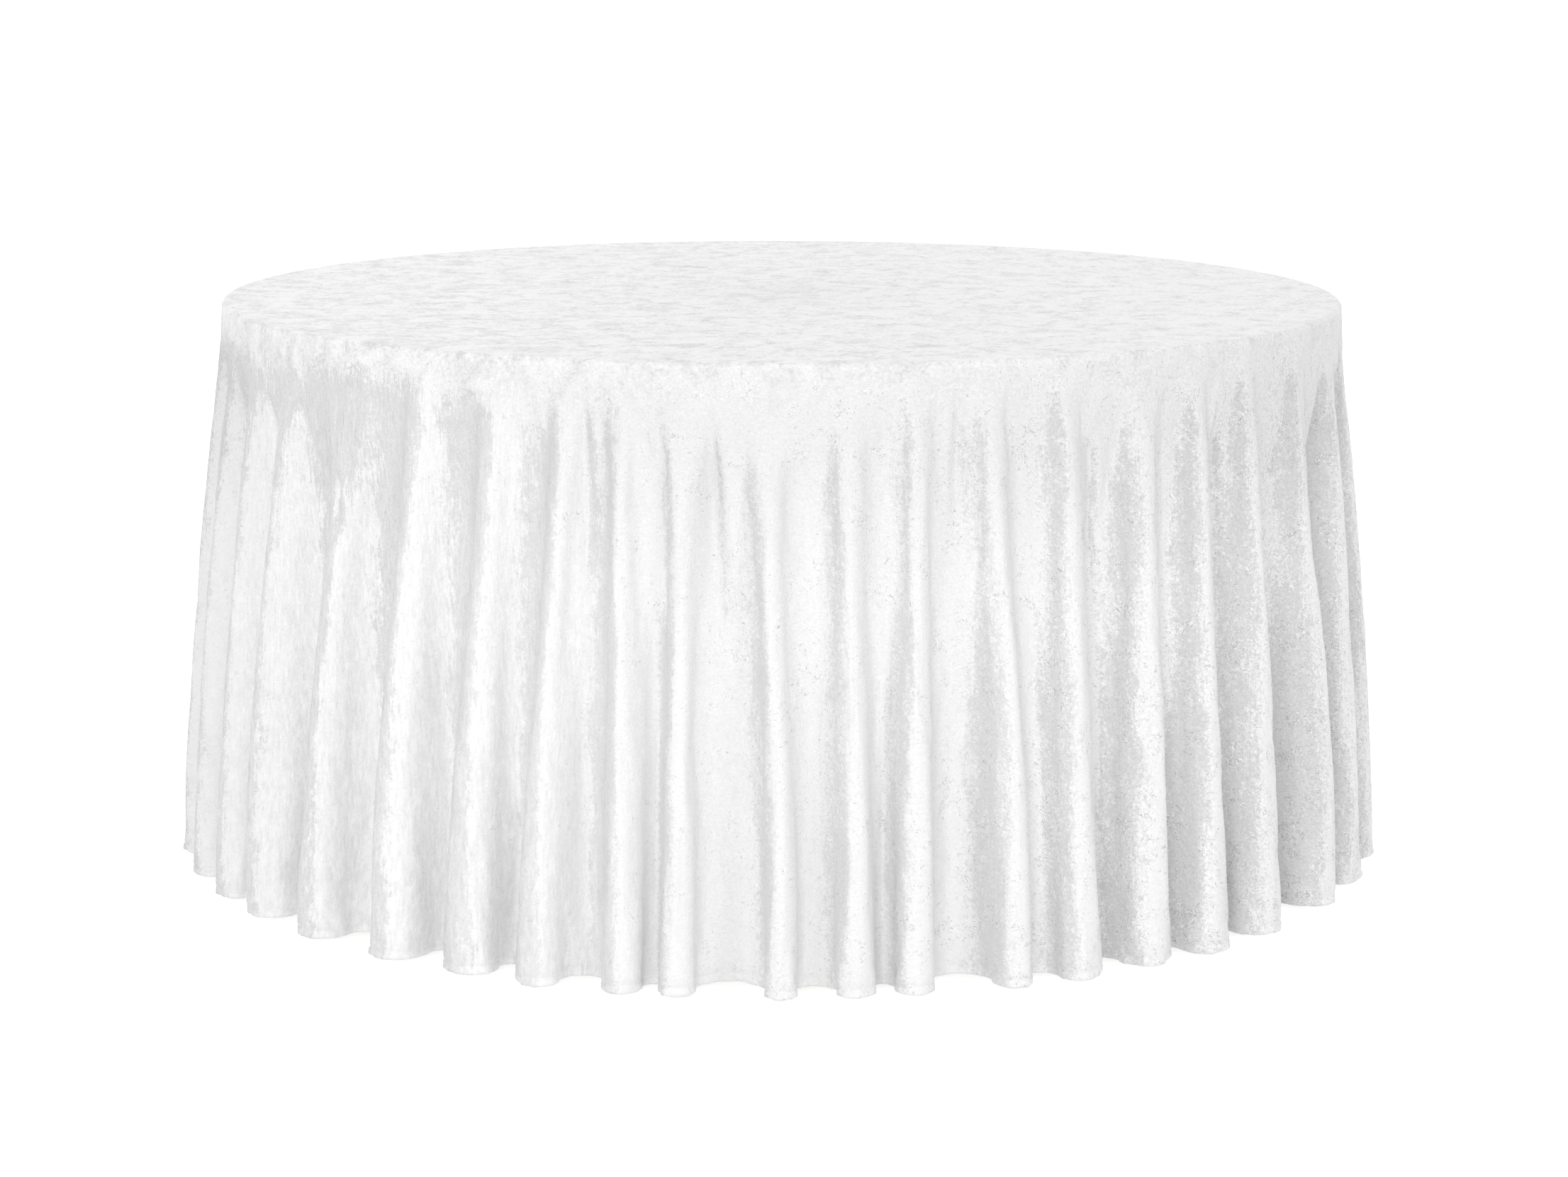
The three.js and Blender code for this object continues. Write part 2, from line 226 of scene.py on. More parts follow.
# %% A finish
class Finish:
    """A material made of nodes, ending in one Principled shader."""

    def __init__(self, name):
        self.material = bpy.data.materials.new(name)
        self.material.use_nodes = True
        self.tree = self.material.node_tree
        self.shader = self.tree.nodes["Principled BSDF"]

    def node(self, kind, settings=None, sockets=None, out=0):
        return new_node(self.tree, kind, settings, sockets, out)

    def mix(self, factor, first, second):
        """A colour between first and second."""
        return self.node("ShaderNodeMix", {"data_type": "RGBA"}, {0: factor, 6: first, 7: second}, out=2)

    def place(self):
        """Where a point lies in the frame, in metres."""
        return self.node("ShaderNodeTexCoord", out="Object")

    def kept(self, name, out="Vector"):
        """What the mesh keeps for each of its points under this name."""
        return self.node("ShaderNodeAttribute", {"attribute_name": name}, out=out)

    def axis(self, where, name):
        return self.node("ShaderNodeSeparateXYZ", sockets={0: where}, out=name)

    def stretched(self, where, scale):
        return self.node("ShaderNodeMapping", sockets={"Vector": where, "Scale": scale})

    def noise(self, where, scale, detail=2.0, rough=0.5, twist=0.0):
        """Cloudy noise from 0 to 1, mostly near 0.5; one cloud is about 1 / scale metres wide."""
        return self.node("ShaderNodeTexNoise", sockets={
            "Vector": where, "Scale": scale, "Detail": detail, "Roughness": rough, "Distortion": twist})

    def finish(self, colour, roughness, height, depth, strength=1.0, **fixed):
        """Feed the shader; depth is how deep the relief is in metres, and fixed holds plain numbers."""
        inputs = self.shader.inputs
        relief = self.node("ShaderNodeBump", sockets={
            "Height": height, "Distance": depth, "Strength": strength})
        plug(self.tree, inputs["Base Color"], colour)
        plug(self.tree, inputs["Roughness"], roughness)
        plug(self.tree, inputs["Normal"], relief)
        for name, value in fixed.items():
            plug(self.tree, inputs[name.replace("_", " ")], value)
        return self.material


print("finishes can be made")

# %% [markdown]
# ## The cloth as it was cut
#
# The cloth is a flat disc, and every point of it keeps two places: where it lies on the cutting
# table, and where it hangs. The flat place sets the real length of every thread, so the drape
# can neither stretch nor shrink it.

# %% Sizes of the cloth and of the table under it
table_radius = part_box("edge_band")[1].x
laminate_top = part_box("top_laminate")[1].z
cloth_thick = 0.0012
air = 0.0003                          # between the cloth and the table
top_z = laminate_top + air + cloth_thick
rim_radius = table_radius + air + cloth_thick
edge_turn = 0.0062                    # how tightly the cloth turns over the table's edge
flat_rim = rim_radius - edge_turn + edge_turn * math.pi / 2
hem_radius = 1.5195                   # of the finished cloth, flat
hem_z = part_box("tablecloth")[0].z + 0.001
rim_z = top_z - edge_turn
crest_reach = 0.836                   # the hem's crests, from the middle of the table
circle_growth = 0.029                 # how much the circle that the folds fill grows down to the hem
deepest_valley = 0.030                # how far a valley may go in past the rim
print(f"table radius {table_radius:.4f}, drop {top_z - hem_z:.4f}, cloth {2 * hem_radius:.3f} across")

# %% [markdown]
# ## Where the folds are
#
# A round cloth has more edge than it needs at the floor, so it falls into folds: here a crest
# about every eight or nine degrees. No two are alike, because the first folds that form decide
# how much cloth is left for their neighbours. A crest starts somewhere below the rim and strays
# a little on its way to the hem, so each one has two angles and a starting height.

# %% Crests: degrees at the hem, degrees at the rim, start of the fold, breadth of the valley after it
front_crests = [
    (-80.8, -80.0, 0.03, 0.0), (-72.0, -70.6, 0.05, 0.1), (-63.5, -62.4, 0.06, 0.0),
    (-56.3, -54.6, 0.00, -0.15), (-46.6, -44.0, 0.13, 0.30), (-37.3, -35.2, 0.02, -0.05),
    (-28.4, -26.8, 0.01, 0.0), (-21.1, -19.6, 0.03, 0.35), (-13.8, -14.4, 0.02, -0.1),
    (-8.4, -8.9, 0.04, 0.95), (0.0, -1.4, 0.06, 0.30), (6.4, 6.1, 0.02, 0.0),
    (11.8, 12.2, 0.03, 0.50), (20.6, 19.0, 0.00, 0.15), (26.5, 26.6, 0.02, -0.2),
    (34.8, 35.2, 0.01, -0.1), (41.3, 42.0, 0.03, -0.1), (49.7, 49.4, 0.00, 0.2),
    (61.5, 59.4, 0.02, -0.1), (70.0, 70.4, 0.08, 0.0), (80.0, 79.6, 0.05, 0.0),
]
print(len(front_crests), "crests in front")

# %% [markdown]
# The back has crests of the same kind. Their steps are a list, and small seeded chances move them,
# so the cloth is the same each time the lesson runs.

# %% Crests at the back, and what every fold does
back_steps = np.array([8.2, 10.4, 7.6, 9.6, 11.2, 7.4, 10.1, 9.3, 6.9, 10.9, 9.7, 7.8, 10.6, 9.1, 7.2, 10.2,
                       9.5, 8.3, 10.9])
chance = np.random.default_rng(11)
back_room = 360.0 + front_crests[0][0] - front_crests[-1][0]
back_hem = front_crests[-1][0] + np.cumsum(back_steps)[:-1] * back_room / back_steps.sum()
back_rim = back_hem + chance.uniform(-1.6, 1.6, len(back_hem))
back_start = chance.uniform(0.0, 0.09, len(back_hem))
back_valley = chance.uniform(-0.2, 0.6, len(back_hem))
back_crests = np.stack([back_hem, back_rim, back_start, back_valley], 1)
at_hem, at_rim, start, valley = np.concatenate([np.array(front_crests), back_crests]).T
at_hem, at_rim = np.radians(at_hem), np.radians(at_rim)
stand = chance.uniform(-0.006, 0.004, len(at_hem))            # some crests stand out further
quick_start = chance.uniform(0.06, 0.20, len(at_hem))         # how soon a fold reaches its full depth
print(len(at_hem), "folds round the cloth")

# %% [markdown]
# ## One fold's shape
#
# Thin cloth that is pushed together bends into a meander: the direction it runs in swings to
# and fro like a pendulum. The size of the swing is set by how much longer the cloth is than the
# circle it hangs on. Near the rim a crest is a narrow ridge between flat stretches, and at the
# hem it is a full round lobe with a tight valley; the exponent `crowd` bends one into the other.

# %% A table of meanders: crowd, swing, step along the cloth
CROWDS = np.array([0.75, 0.9, 1.1, 1.35, 1.65, 2.0])
SWINGS = np.linspace(0.0, 2.0, 121)
STEPS = np.linspace(0.0, 1.0, 129)
side = 2 * STEPS - 1                              # -1 and 1 on the crests, 0 in the valley
bent = (1 + np.sign(side) * np.abs(side) ** CROWDS[:, None]) / 2
angles = -SWINGS[None, :, None] * np.sin(2 * math.pi * bent)[:, None, :]


def summed(values):
    middle = (values[..., 1:] + values[..., :-1]) / 2 * (STEPS[1] - STEPS[0])
    return np.concatenate([np.zeros(values.shape[:-1] + (1,)), np.cumsum(middle, axis=-1)], axis=-1)


run = summed(np.cos(angles))          # along the circle
dip = summed(np.sin(angles))          # in from the crest
print("cloth twice as long as its circle swings by",
      round(math.degrees(float(np.interp(-0.5, -run[2, :, -1], SWINGS)))), "degrees")

# %% [markdown]
# ## Small pinches
#
# Where two folds start close together, the cloth between them is pinched, and a short crease
# runs down until the folds have parted. Each pinch is an angle at its top and at its foot, the
# heights of both, a width and a depth.

# %% Pinches: angle at top and foot, start and end of the drop, width in degrees, depth
front_pinches = [
    (-45.2, -44.6, 0.20, 0.34, 0.55, 0.013), (-46.8, -48.6, 0.30, 0.42, 0.5, 0.007),
    (-43.2, -43.0, 0.33, 0.46, 0.5, 0.006), (-6.2, -5.4, 0.05, 0.62, 1.0, 0.011),
    (-33.4, -34.6, 0.46, 0.80, 0.8, 0.008), (-24.6, -25.4, 0.66, 1.10, 0.7, 0.012),
    (8.9, 9.2, 0.35, 1.10, 0.9, 0.006), (29.6, 30.6, 0.10, 0.62, 0.7, 0.008),
    (45.4, 46.3, 0.06, 0.55, 0.7, 0.008), (60.0, 61.2, 0.08, 0.60, 0.8, 0.010),
    (-59.8, -57.2, 0.10, 0.40, 0.7, 0.007), (-66.8, -68.2, 0.20, 0.85, 0.8, 0.009),
    (-18.0, -17.3, 0.02, 0.50, 0.6, 0.007), (15.9, 16.4, 0.03, 0.38, 0.6, 0.006),
    (67.2, 66.4, 0.05, 0.70, 0.8, 0.008),
]
back_tops = np.arange(88.0, 276.0, 11.0) + chance.uniform(-4, 4, 18)
back_pinches = [
    (top, top + chance.uniform(-1.6, 1.6), first, first + chance.uniform(0.2, 0.6),
     chance.uniform(0.5, 1.0), chance.uniform(0.005, 0.011))
    for top, first in zip(back_tops, chance.uniform(0.02, 0.45, 18))
]
pinches = front_pinches + back_pinches
print(len(pinches), "pinches")


# %% [markdown]
# ## Hanging a ring of the cloth
#
# One function gives the place of every point that lies at one radius on the flat cloth. On the
# table the ring stays flat, over the edge it follows a small quarter circle, and below that it
# runs through the folds. The next cell holds its helpers.


# %% Helpers: a smooth step, a place on the skirt, a look-up in the tables, the pinches
def smooth(x):
    x = np.clip(x, 0.0, 1.0)
    return x * x * (3 - 2 * x)


def upright(theta, r, z):
    return np.stack([r * np.sin(theta), -r * np.cos(theta), z + 0 * theta], 1)


def halves(part):
    """A place between two rows of a table is part of the next row and the rest of this one."""
    return (0, 1 - part), (1, part)


def looked_up(table, k, w, i, p, j, q):
    """The meander table at crowd k + w, swing i + p and step j + q."""
    found = 0.0
    for dk, wk in halves(w):
        for di, wi in halves(p):
            for dj, wj in halves(q):
                found = found + table[k + dk, i + di, j + dj] * wk * wi * wj
    return found


def pinched(theta, t):
    """How far the pinches draw the cloth in, at this share of the drop."""
    drawn = 0.0 * theta
    for top, foot, first, last, wide, deep in pinches:
        if first < t < last:
            along = (t - first) / (last - first)
            centre = math.radians(top + (foot - top) * along)
            off = (theta - centre + math.pi) % (2 * math.pi) - math.pi
            spread = math.radians(wide) * (0.6 + 0.9 * along)
            fade = smooth(along / 0.25) * smooth((1 - along) / 0.6) if last <= 1 else smooth(along / 0.4)
            drawn += deep * fade * np.exp(-((off / spread) ** 2))
    return drawn


print("helpers ready")


# %% Where each ring of the cloth hangs
def hanging_ring(theta, flat_radius):
    """Places of one ring's points: theta is their flat angle, from the front to the right."""
    if flat_radius <= rim_radius - edge_turn:
        return upright(theta, flat_radius, top_z)
    if flat_radius <= flat_rim:
        bend = (flat_radius - rim_radius + edge_turn) / edge_turn
        return upright(theta, rim_radius - edge_turn + edge_turn * math.sin(bend),
                       top_z - edge_turn + edge_turn * math.cos(bend))

    # the share of the drop, and how far each fold swings there
    t = (flat_radius - flat_rim) / (hem_radius - flat_rim)
    crowd = 1.75 - 0.95 * smooth(t / 0.75) + valley * smooth(t / 0.5)
    shape_row = np.clip(np.interp(crowd, CROWDS, np.arange(len(CROWDS))), 0, len(CROWDS) - 1.001)
    shape, between = shape_row.astype(int), (shape_row - shape_row.astype(int))[:, None]
    fold_run = run[shape, :, -1] * (1 - between) + run[shape + 1, :, -1] * between
    ratio = min(1.0, (rim_radius + circle_growth * t) / flat_radius)
    swing = np.array([float(np.interp(-ratio, -one, SWINGS)) for one in fold_run])
    swing *= 0.08 + 0.92 * smooth((t - start + 0.01) / quick_start)

    # the fold that each point is in, and u, its share of the way to the next crest
    at = at_rim + (at_hem - at_rim) * smooth(t / 0.85)
    ends = np.concatenate([at, [at[0] + 2 * math.pi]])
    turned = (theta - ends[0]) % (2 * math.pi) + ends[0]
    fold = np.clip(np.searchsorted(ends, turned, side="right") - 1, 0, len(at) - 1)
    following = (fold + 1) % len(at)
    width = (ends[1:] - ends[:-1])[fold]
    u = (turned - ends[fold]) / width

    # where the meander tables put it
    swung = swing[fold] * (1 - smooth(u)) + swing[following] * smooth(u)
    row = np.clip(swung / SWINGS[-1] * (len(SWINGS) - 1), 0, len(SWINGS) - 1.001)
    column = np.clip(u * (len(STEPS) - 1), 0, len(STEPS) - 1.001)
    i, j = row.astype(int), column.astype(int)
    p, q = row - i, column - j
    k, w = shape[fold], between[fold, 0]
    in_table = (k, w, i, p, j, q)
    total = sum(run[k + dk, i + di, -1] * wk * wi for dk, wk in halves(w) for di, wi in halves(p))
    crest_out = rim_radius + (crest_reach - rim_radius) * t ** 0.85
    out = crest_out + (stand[fold] * (1 - u) + stand[following] * u) * t
    r = np.maximum(out + looked_up(dip, *in_table) * flat_radius * width,
                   rim_radius - deepest_valley * smooth((t - 0.05) / 0.3))
    where = ends[fold] + width * looked_up(run, *in_table) / total
    return upright(where, r - pinched(theta, t), rim_z + (hem_z - rim_z) * t)


hem_ring = hanging_ring(np.linspace(0, 2 * math.pi, 999), hem_radius)
print("the hem reaches", round(float(np.linalg.norm(hem_ring[:, :2], axis=1).max()), 4), "from the middle")

# %% [markdown]
# The mesh is rings round the middle. Near the middle each ring has half the points of the next
# one out, or the triangles there would be needles.

# %% Rings, points and faces
COLUMNS = 1152
SKIRT_RINGS = 60
inner_rings = [(9, 0.02), (18, 0.05), (36, 0.09), (72, 0.14), (72, 0.19), (144, 0.24), (144, 0.30),
               (288, 0.37), (288, 0.44), (576, 0.52), (576, 0.60), (576, 0.67), (COLUMNS, 0.72),
               (COLUMNS, 0.745)]
rim_rings = [(COLUMNS, r) for r in np.linspace(rim_radius - edge_turn, flat_rim, 5)]
skirt_width = hem_radius - flat_rim
skirt_rings = [(COLUMNS, flat_rim + skirt_width * k / SKIRT_RINGS) for k in range(1, SKIRT_RINGS + 1)]
rings = inner_rings + rim_rings + skirt_rings

points, flat_points, faces, ring_start = [(0.0, 0.0, top_z)], [(0.0, 0.0, 0.0)], [], []
for count, radius in rings:
    ring_start.append(len(points))
    theta = np.arange(count) * 2 * math.pi / count
    points.extend(map(tuple, hanging_ring(theta, radius)))
    flat_points.extend(zip(radius * np.sin(theta), -radius * np.cos(theta), np.zeros(count)))


def joined(few, many, a, b):
    """Faces between a ring of few points, which starts at a, and one of as many or twice as many."""
    made = []
    for k in range(few):
        a0, a1 = a + k, a + (k + 1) % few
        if few == many:
            made.append((a0, b + k, b + (k + 1) % many, a1))
        else:
            b0, b1, b2 = b + 2 * k, b + 2 * k + 1, b + (2 * k + 2) % many
            made.extend([(a0, b0, b1), (a0, b1, a1), (a1, b1, b2)])
    return made


faces = [(0, 1 + k, 1 + (k + 1) % rings[0][0]) for k in range(rings[0][0])]
for (few, _), (many, _), a, b in zip(rings, rings[1:], ring_start, ring_start[1:]):
    faces.extend(joined(few, many, a, b))
points, flat_points = np.array(points), np.array(flat_points)
print(len(points), "points,", len(faces), "faces")

# %% [markdown]
# ## Letting it hang
#
# The meander is a good guess, but real cloth also has weight. Blender's Cloth takes the flat disc
# as the rest shape, holds the part that lies on the table, and lets the skirt settle. Threads
# keep their length, so small pinches form just below the rim, where the folds begin.


# %% Drape the cloth
def cloth_object(name, places, polygons):
    mesh = bpy.data.meshes.new(name)
    mesh.from_pydata([tuple(p) for p in places], [], polygons)
    mesh.polygons.foreach_set("use_smooth", np.ones(len(mesh.polygons), bool))
    made = bpy.data.objects.new(name, mesh)
    scene.collection.objects.link(made)
    return made


def settled(places, flat, polygons, held, frames):
    """Let Blender's Cloth hang the points for some frames, and give their new places."""
    trial = cloth_object("hanging_trial", places, polygons)
    trial.shape_key_add(name="as_hung")
    as_cut = trial.shape_key_add(name="as_cut")
    as_cut.data.foreach_set("co", flat.astype(np.float32).ravel())
    as_cut.value = 0.0
    group = trial.vertex_groups.new(name="on_table")
    group.add(held, 1.0, "REPLACE")
    cloth = trial.modifiers.new("velvet", "CLOTH")
    s = cloth.settings
    s.quality = 6
    s.mass = 0.0012
    s.tension_stiffness = s.compression_stiffness = 25
    s.shear_stiffness = 3
    s.bending_stiffness = 0.02
    s.tension_damping = s.compression_damping = 8
    s.shear_damping = 4
    s.bending_damping = 0.4
    s.air_damping = 2
    s.vertex_group_mass = "on_table"
    s.rest_shape_key = as_cut
    cloth.collision_settings.use_collision = False
    cloth.collision_settings.use_self_collision = False
    cloth.point_cache.frame_start = 1
    cloth.point_cache.frame_end = frames
    for number in range(1, frames + 1):
        scene.frame_set(number)
    shown = trial.evaluated_get(bpy.context.evaluated_depsgraph_get())
    out = np.empty(len(places) * 3, np.float32)
    shown.data.vertices.foreach_get("co", out)
    bpy.data.objects.remove(trial)
    scene.frame_set(1)
    return out.reshape(-1, 3).astype(float)


SETTLING_FRAMES = 20
first_free = ring_start[len(inner_rings) + len(rim_rings) - 1] + COLUMNS
draped = settled(points, flat_points, faces, list(range(first_free)), SETTLING_FRAMES)
moved = np.linalg.norm(draped - points, axis=1)
print(f"moved {moved.mean() * 1000:.1f} mm on average, {moved.max() * 1000:.0f} at most")
points = draped

# %% [markdown]
# ## The hem
#
# The edge is turned under by a finger's width and sewn. The seam draws the cloth in a little, so
# the band below it puckers. The band, the turn and the layer inside it are more rings of the
# same sheet, laid by the outward direction of the last ring.

# %% Turn the hem under
last = ring_start[-1]
edge = points[last:last + COLUMNS]
above = points[last - COLUMNS:last]
down = (edge - above) / np.linalg.norm(edge - above, axis=1)[:, None]
across = np.roll(edge, -1, axis=0) - np.roll(edge, 1, axis=0)
out_of_edge = np.cross(down, across)
out_of_edge /= np.linalg.norm(out_of_edge, axis=1)[:, None]
if (out_of_edge[:, :2] * edge[:, :2]).sum() < 0:
    out_of_edge = -out_of_edge
round_hem = np.arange(COLUMNS) * 2 * math.pi / COLUMNS
pucker = sum(np.sin(round_hem * waves + phase) for waves, phase in ((311, 0.3), (397, 1.9), (523, 4.1))) / 3


def hem_layer(height, offset, pucker_size):
    """A ring this far above the edge, moved outward by offset."""
    return edge - down * height + out_of_edge * (offset + pucker_size * pucker)[:, None]


flat_edge = flat_points[last:last + COLUMNS] / hem_radius
hem_layers = [          # height above the edge, outward offset, pucker, and how far out on the flat cloth
    (0.0112, -0.0007, 0.0001, -0.0112), (0.0098, -0.0008, 0.0001, -0.0098), (0.0080, 0.0004, 0.0006, -0.0080),
    (0.0045, 0.0006, 0.0008, -0.0045), (0.0012, 0.0005, 0.0008, -0.0012), (0.0002, -0.0003, 0.0008, 0.0003),
    (0.0000, -0.0013, 0.0008, 0.0014), (0.0004, -0.0024, 0.0008, 0.0026), (0.0040, -0.0029, 0.0005, 0.0062),
    (0.0098, -0.0032, 0.0001, 0.0120),
]
new_points, new_flat = [], []
for height, offset, pucker_size, further in hem_layers:
    new_points.append(hem_layer(height, offset, pucker_size))
    new_flat.append(flat_edge * (hem_radius + further))
points = np.concatenate([points[:last]] + new_points)
flat_points = np.concatenate([flat_points[:last]] + new_flat)
faces = [f for f in faces if max(f) < last]
for k in range(len(hem_layers)):
    faces.extend(joined(COLUMNS, COLUMNS, last - COLUMNS + k * COLUMNS, last + k * COLUMNS))
print("hem of", len(hem_layers), "rings, band 10 mm high")

# %% [markdown]
# ## The cloth piece
#
# The settled sheet gets its thickness inwards, so the pile side stays where it was. The faces
# made by the thickening take the second material, which is the knitted back of the velvet. Two
# things are kept for every point, for the finish: "cut", its place on the flat cloth, and
# "nap", which is above 0 where the cloth faces right of straight out from the table and
# below 0 where it faces left. The finish paints the folds' light and shade by it.

# %% Make the sheet
tablecloth = cloth_object("velvet_cloth", points, faces)
place_in_cut = tablecloth.data.attributes.new("cut", "FLOAT_VECTOR", "POINT")
place_in_cut.data.foreach_set("vector", flat_points.astype(np.float32).ravel())
outward = points[:, :2] / np.maximum(np.linalg.norm(points[:, :2], axis=1), 1e-6)[:, None]
rightward = np.stack([-outward[:, 1], outward[:, 0]], 1)
normals = np.empty(len(points) * 3, np.float32)
tablecloth.data.vertex_normals.foreach_get("vector", normals)
# which way each point faces, kept so the finish can paint light and shade on the flanks
turned_right = (normals.reshape(-1, 3)[:, :2] * rightward).sum(axis=1)
nap = tablecloth.data.attributes.new("nap", "FLOAT", "POINT")
nap.data.foreach_set("value", turned_right.astype(np.float32))
thicken = tablecloth.modifiers.new("thickness", "SOLIDIFY")
thicken.thickness = cloth_thick
thicken.offset = -1.0
thicken.material_offset = 1
thicken.material_offset_rim = 1
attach(tablecloth, "cloth")
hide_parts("tablecloth")

# %% [markdown]
# ## Crushed velvet
#
# The pile of crushed velvet lies over in small patches, every patch its own way, with fine curled
# creases between them. The finish starts as noises of falling size on the flat cloth, so that the
# pattern hangs with the cloth and is never stretched by a fold.

# %% Noises on the flat cloth
velvet = Finish("white_crushed_velvet")
cut = velvet.kept("cut")
cut_x = velvet.axis(cut, "X")
cut_length = velvet.node("ShaderNodeVectorMath", {"operation": "LENGTH"}, {0: cut}, out="Value")
spoke = velvet.node("ShaderNodeVectorMath", {"operation": "NORMALIZE"}, {0: cut})
spoke_x = velvet.axis(spoke, "X")
FIBRES_ROUND, FIBRES_DOWN = 330.0, 55.0       # fibres are six times as long as they are wide
fibre_place = velvet.node("ShaderNodeCombineXYZ", sockets={
    "X": spoke_x * FIBRES_ROUND, "Y": velvet.axis(spoke, "Y") * FIBRES_ROUND, "Z": cut_length * FIBRES_DOWN})
fibres = velvet.noise(fibre_place, 1.0, 3.0, 0.6, 0.3)
slow = velvet.noise(velvet.stretched(fibre_place, (0.016, 0.016, 0.10)), 1.0, 2.0, 0.5)
wander = velvet.noise(cut, 26.0, 3.0, 0.6, 0.8)
patches = velvet.noise(cut, 105.0, 4.0, 0.62, 1.6)
curls = velvet.noise(cut, 135.0, 2.0, 0.55, 2.2)
creases = 1 - abs(curls - 0.5).between(0.012, 0.055)
fine = velvet.noise(cut, 240.0, 4.0, 0.75, 1.0)
grit = velvet.noise(cut, 430.0, 3.0, 0.7, 0.5)
pile = velvet.noise(cut, 900.0, 2.0, 0.5)
print("velvet noises ready")

# %% [markdown]
# The cloth isn't the same all over. The skirt starts where the cloth leaves the table. On the left
# a hand has brushed the pile down, so it is smooth and its fibres show as streaks, and the painted
# bright and grey of its flanks lie closer together. The far left end of the skirt is painted grey as
# shade, and a band under the rim is painted darker and greyer as shade, fading out down the drop.

# %% Masks: 1 where a part of the cloth is, 0 elsewhere
skirt = cut_length.between(0.755, 0.84)
right_side = cut_x.between(0.15, 0.9)
middle = 1 - abs(spoke_x).between(0.25, 0.75)
# painted shade: the far left end of the skirt is painted grey
painted_left_shade = skirt * (1 - spoke_x.between(-0.97, -0.84))
# the brushed left: a real smoother pile with fibre streaks, and a painted lift of the grey on its flanks
brushed_and_lit = (velvet.noise(cut, 3.2, 2.0, 0.5) * 0.3 - cut_x).between(0.22, 0.72) * (1 - painted_left_shade)
# painted shade: a band under the rim, darker and greyer, fading out down the drop
painted_rim_shade = cut_length.between(0.752, 0.772) * (1 - cut_length.between(0.82, 1.08)) * (1 - brushed_and_lit * 0.7)
crushed = 1 - brushed_and_lit * 0.40
brushed_and_lit_skirt = brushed_and_lit * skirt
print("velvet masks ready")

# %% [markdown]
# The folds' light and shade are painted into the colour. A flank that faces right of straight out
# is painted bright and one that faces left is painted grey, with a ragged line between them.
# "nap" says which flank a point is on. The noises make the line ragged, and the masks
# say how much cloth is painted grey in each part.

# %% Where the flanks are painted bright and where grey
flank_side = velvet.kept("nap", out="Fac")
ragged = (crushed * ((fine - 0.5) * 1.5 + (patches - 0.5) * 0.9)
          + (wander - 0.5) * 0.8 + (fibres - 0.5) * 0.8)
# painted shade: the higher this is, the brighter a flank is painted; the far left end, the right and the band
# under the rim are pushed towards grey
turned = (flank_side + ragged + (slow - 0.5) * 0.9 - brushed_and_lit_skirt * 0.66 + 0.05 - right_side * 0.06
          - painted_rim_shade * (0.16 + right_side * 0.20) - painted_left_shade * 0.95)
painted_lit_flank = turned.between(brushed_and_lit_skirt * 0.46 - 0.92, brushed_and_lit_skirt * 0.26 - 0.38)
print("nap ready")

# %% [markdown]
# The colour is a grey between black and white. Its first lines are painted light and shade: bright
# and grey flanks, the grey lighter in the middle and on the brushed left, the right a little darker
# and the band under the rim darker. The next ones are the crushed texture, and the creases are short
# dark strokes on top. The relief repeats the same noises, so the bumps lie where the tones are.

# %% Colour, roughness and relief of the velvet
busy = 1.45 - painted_lit_flank * 0.6                # texture is stronger where a flank is painted grey than where it is painted bright
coarser = 1 + right_side * 0.35 - middle * 0.2
# painted light and shade of the flanks and of the parts of the cloth come first, then the texture
lightness = (0.705 + painted_lit_flank * (0.187 - brushed_and_lit * 0.062 - middle * 0.050 + right_side * 0.030)
             + brushed_and_lit * 0.052 + middle * 0.045 - right_side * 0.010
             - painted_rim_shade * 0.085
             + ((fine - 0.5) * 0.22 + (grit - 0.5) * 0.16) * busy * coarser
             + (patches - 0.5) * crushed * 0.10 + (wander - 0.5) * 0.10
             + (fibres - 0.5) * brushed_and_lit_skirt * 0.34
             + (1 - skirt) * (1 - painted_rim_shade * 0.6)
             * ((patches - 0.5) * 0.85 + (fine - 0.5) * 0.42 + (wander - 0.5) * 0.72))
strokes = (patches * 0.45 + grit * 0.2 + wander * 0.35 + cut_x * 0.035).between(0.53, 0.60)
specks = creases * strokes * crushed
colour = velvet.mix(lightness * (1 - specks * 0.42), (0.0, 0.0, 0.0), (1.0, 1.0, 1.0))
relief = (crushed * (fine * 0.9 + patches * 0.7 + curls * 0.5)
          + grit * 0.25 + wander * 1.2 + fibres * 0.45 + pile * 0.12)
velvet.finish(colour, 0.50 - painted_lit_flank * 0.10 - brushed_and_lit_skirt * 0.12, relief, 0.0020, 0.6,
              Sheen_Weight=0.15, Sheen_Roughness=0.4)
tablecloth.data.materials.append(velvet.material)
print("velvet finish ready")

# %% [markdown]
# The back of the velvet is a smooth fine knit: rows of loops 0.8 mm wide, without any pile.

# %% Knitted back
knit = Finish("velvet_knit_back")
back_cut = knit.kept("cut")
courses = knit.node("ShaderNodeTexWave", {"wave_type": "BANDS", "bands_direction": "X"}, {
    "Vector": back_cut, "Scale": 390.0, "Distortion": 0.6, "Detail": 1.0})
wales = knit.node("ShaderNodeTexWave", {"wave_type": "BANDS", "bands_direction": "Y"}, {
    "Vector": back_cut, "Scale": 290.0, "Distortion": 0.8, "Detail": 1.0})
slubs = knit.noise(back_cut, 40.0, 3.0)
knit.finish(knit.mix(slubs, (0.74, 0.74, 0.73), (0.84, 0.84, 0.83)), 0.75, courses * wales, 0.0002, 0.5,
            Sheen_Weight=0.1)
tablecloth.data.materials.append(knit.material)
print("knit finish ready")

# %% [markdown]
# ## The board
#
# The table's finishes show when the cloth is lifted. The board is birch plywood: a pale face
# veneer with long grain, and thin layers that show as stripes at its edge. The face under the
# cloth is a printed laminate, and a vinyl strip covers the board's edge.

